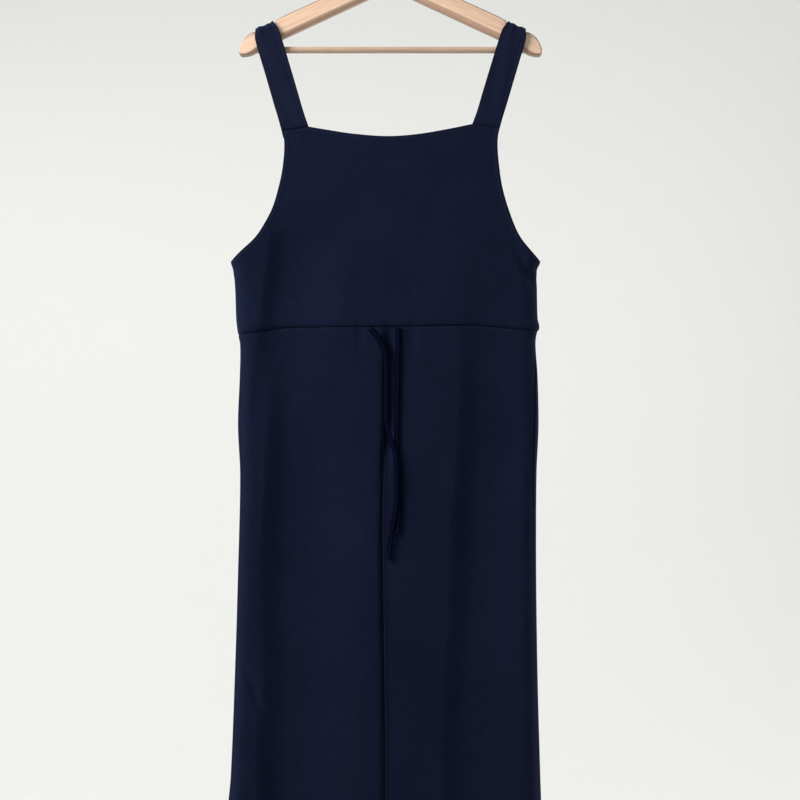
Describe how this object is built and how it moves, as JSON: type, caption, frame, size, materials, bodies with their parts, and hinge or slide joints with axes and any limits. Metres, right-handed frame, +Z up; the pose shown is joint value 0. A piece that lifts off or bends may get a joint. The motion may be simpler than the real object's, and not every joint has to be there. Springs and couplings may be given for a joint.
{
  "type": "jumpsuit on a hanger",
  "caption": "Sleeveless wide-leg knit jumpsuit with a square neck, wide straps and a drawstring waist, hung flat on a wooden hanger with a wire hook.",
  "frame": {"origin": "inside top of the hanger's hook, where a rail or a wall hook carries it", "axes": "+Z up, the garment's front faces -Y, +X to the right as seen from the front"},
  "size_m": [0.48, 0.0624, 1.5836],
  "materials": {
    "navy_knit": "matte fine knit",
    "beech": "clear satin lacquer",
    "hook_steel": "polished"
  },
  "bodies": {
    "root": {"front_bodice": "navy_knit", "back_bodice": "navy_knit", "strap_left": "navy_knit", "strap_right": "navy_knit", "front_leg_left": "navy_knit", "front_leg_right": "navy_knit", "back_leg_left": "navy_knit", "back_leg_right": "navy_knit", "tie_left": "navy_knit", "tie_right": "navy_knit", "hanger_arms": "beech", "hanger_bar": "beech", "hanger_hook": "hook_steel"}
  },
  "joints": []
}
